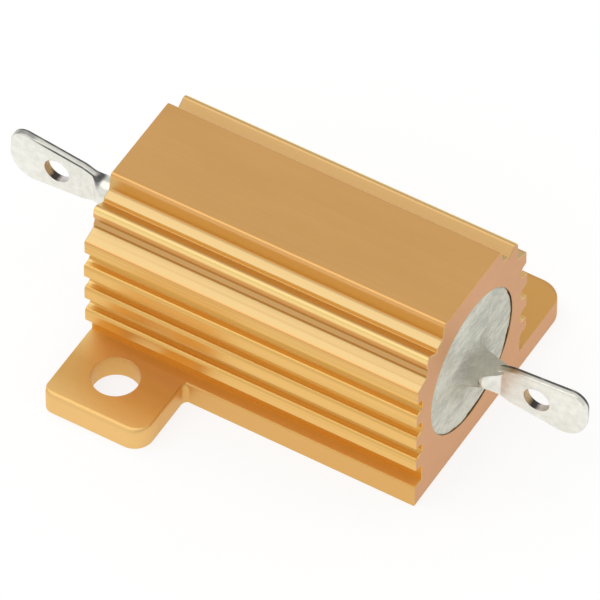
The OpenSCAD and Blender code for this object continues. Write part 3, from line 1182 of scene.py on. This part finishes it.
def hole_punch():
    """A punch with flared ends, which rounds the wiring hole's rims as it cuts."""
    flare = TAB_HOLE_RIM
    half_t = TAB_T / 2
    profile = [(half_t + PUNCH_PAST, TAB_HOLE_R + flare)]
    for a in spaced(0, math.pi / 2, EDGE_STEPS):
        depth = half_t - flare * (1 - math.cos(a))
        profile.append((depth, TAB_HOLE_R + flare * (1 - math.sin(a))))
    profile += [(-depth, radius) for depth, radius in reversed(profile)]
    return loft(
        [Vector((point.x, depth, TAB_HOLE_X + point.y)) for point in circle(radius, PUNCH_POINTS)]
        for depth, radius in profile
    )


def solder_tab(name, node, turn, tin, torn):
    """A round pin, pressed flat into a tab with a wiring hole, and tinned all over."""
    lower = terminal_edge(TAB_R, TAB_END)
    upper = terminal_edge(TAB_TOP_R, TAB_END - TAB_TOP_SHORT)
    rings = [terminal_side(low, 1) + terminal_side(high, -1) for low, high in zip(lower, upper)]
    rims = [terminal_rims(s) for s, _, _ in lower]
    blank = add_object("tab_blank", mesh_of(loft(rings, rims=rims), "tab_blank", tin))
    punch = add_object("tab_punch", mesh_of(hole_punch(), "tab_punch", torn))
    pierced = blank.modifiers.new("wiring_hole", "BOOLEAN")
    pierced.object = punch
    pierced.material_mode = "TRANSFER"
    mesh = plain_mesh(blank)
    bpy.data.objects.remove(punch)
    for point, level in zip(mesh.vertices, mesh.attributes["rim"].data):
        if math.hypot(point.co.x, point.co.z - TAB_HOLE_X) < TAB_HOLE_R + 2 * TAB_HOLE_RIM:
            level.value = 0
    mesh.transform(turn)
    finish_piece(name, mesh, node, TAB_CREASE)


# --- Hidden element ----------------------------------------------------------------------


def resistance_wire():
    """The bare wire, wound in one layer on the core between the end caps."""
    coil_end = CORE_L / 2 - CAP_SKIRT - WIRE_R - WIRE_SEAT
    turns = math.floor(2 * coil_end / WIRE_PITCH)
    tree = Shape(
        "wire_coil",
        turns=turns,
        coil_radius=CORE_R + WIRE_R + WIRE_SEAT,
        coil_length=turns * WIRE_PITCH,
        wire_radius=WIRE_R,
    )
    spiral = {
        "Resolution": WIRE_STEPS,
        "Rotations": tree.turns,
        "Start Radius": tree.coil_radius,
        "End Radius": tree.coil_radius,
        "Height": tree.coil_length,
    }
    round_wire = {"Resolution": WIRE_SIDES, "Radius": tree.wire_radius}
    coil = tree.node("GeometryNodeCurveSpiral", spiral)
    wire = tree.node("GeometryNodeCurvePrimitiveCircle", round_wire, mode="RADIUS")
    skin = tree.node("GeometryNodeCurveToMesh", {0: coil, 1: wire, "Fill Caps": True})
    skin = tree.moved(skin, z=-tree.coil_length / 2)
    metal = drawn_metal("resistance_alloy", *WIRE_ALLOY)
    mesh = tree.grow(skin, bpy.data.meshes.new("no_wires"), [(metal, True)])
    mesh.transform(ON_AXIS)
    finish_piece("resistance_wire", mesh, "resistance_winding")


def paint_node(name, material):
    """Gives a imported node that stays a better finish."""
    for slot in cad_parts[name].material_slots:
        slot.material = material


# --- Stage -------------------------------------------------------------------------------


def studio_floor():
    """A plain white floor that keeps a soft shadow."""
    white = bpy.data.materials.new("studio_white")
    white.use_nodes = True
    tree = Tree(white.node_tree)
    rays = tree.node("ShaderNodeLightPath").socket.node.outputs
    kinds = ("Is Camera Ray", "Is Glossy Ray", "Is Transmission Ray")
    seen = sum(Value(tree, rays[kind]) for kind in kinds)
    shade = FLOOR_SHADE - (FLOOR_SHADE - FLOOR_SEEN_SHADE) * seen
    matt = tree.node("ShaderNodeBsdfDiffuse", {"Color": shade})
    glow = tree.node("ShaderNodeEmission", {"Strength": FLOOR_GLOW * seen})
    both = tree.node("ShaderNodeAddShader", {0: matt, 1: glow})
    tree.node("ShaderNodeOutputMaterial", {"Surface": both})
    w = FLOOR_HALF_WIDTH
    mesh = bpy.data.meshes.new("studio_floor")
    mesh.from_pydata([(-w, -w, 0), (w, -w, 0), (w, w, 0), (-w, w, 0)], [], [(0, 1, 2, 3)])
    mesh.materials.append(white)
    floor = add_object("studio_floor", mesh)


def softbox(name, length, width, level, place, tip=0):
    """A rectangle of even light, whose level adds to the surround's. tip turns it about X."""
    lamp = bpy.data.lights.new(name, "AREA")
    lamp.shape = "RECTANGLE"
    lamp.size = length
    lamp.size_y = width
    lamp.energy = level * math.pi * length * width
    box = add_object(name, lamp)
    box.location = place
    box.rotation_euler.x = math.radians(tip)


def soft_light():
    """An even pale surround, one softbox overhead, and a weaker card before the front."""
    world = bpy.data.worlds.new("studio")
    world.use_nodes = True
    tree = Tree(world.node_tree)
    pale = {"Color": (1.0, 1.0, 1.0, 1.0), "Strength": SURROUND_LEVEL}
    surround = tree.node("ShaderNodeBackground", pale)
    tree.node("ShaderNodeOutputWorld", {"Surface": surround})
    bpy.context.scene.world = world
    softbox("top_softbox", SOFTBOX_L, SOFTBOX_W, SOFTBOX_LEVEL, SOFTBOX_PLACE)
    card = (FRONT_CARD_L, FRONT_CARD_W, FRONT_CARD_LEVEL, FRONT_CARD_PLACE)
    softbox("front_card", *card, tip=FRONT_CARD_TIP)


def place_camera():
    lens = bpy.data.cameras.new("camera")
    lens.lens = CAMERA_LENS
    lens.sensor_width = CAMERA_SENSOR
    lens.clip_start = CAMERA_NEAREST
    camera = add_object("camera", lens)
    camera.location = CAMERA_AIM + CAMERA_BACK * CAMERA_DISTANCE
    camera.rotation_euler = CAMERA_BACK.to_track_quat("Z", "Y").to_euler()
    bpy.context.scene.camera = camera
    bpy.context.scene.view_settings.view_transform = "Standard"


finned_housing()
cement_filling()
tin, torn = bright_tin(), pierced_edge()
to_left = ON_AXIS @ Matrix.Rotation(math.pi, 4, "X")
solder_tab("solder_tab_left", "terminal_left", to_left, tin, torn)
solder_tab("solder_tab_right", "terminal_right", ON_AXIS, tin, torn)
resistance_wire()
paint_node("ceramic_core", steatite())
cap_metal = drawn_metal("cap_steel", *CAP_STEEL)
paint_node("end_cap_left", cap_metal)
paint_node("end_cap_right", cap_metal)
studio_floor()
soft_light()
place_camera()
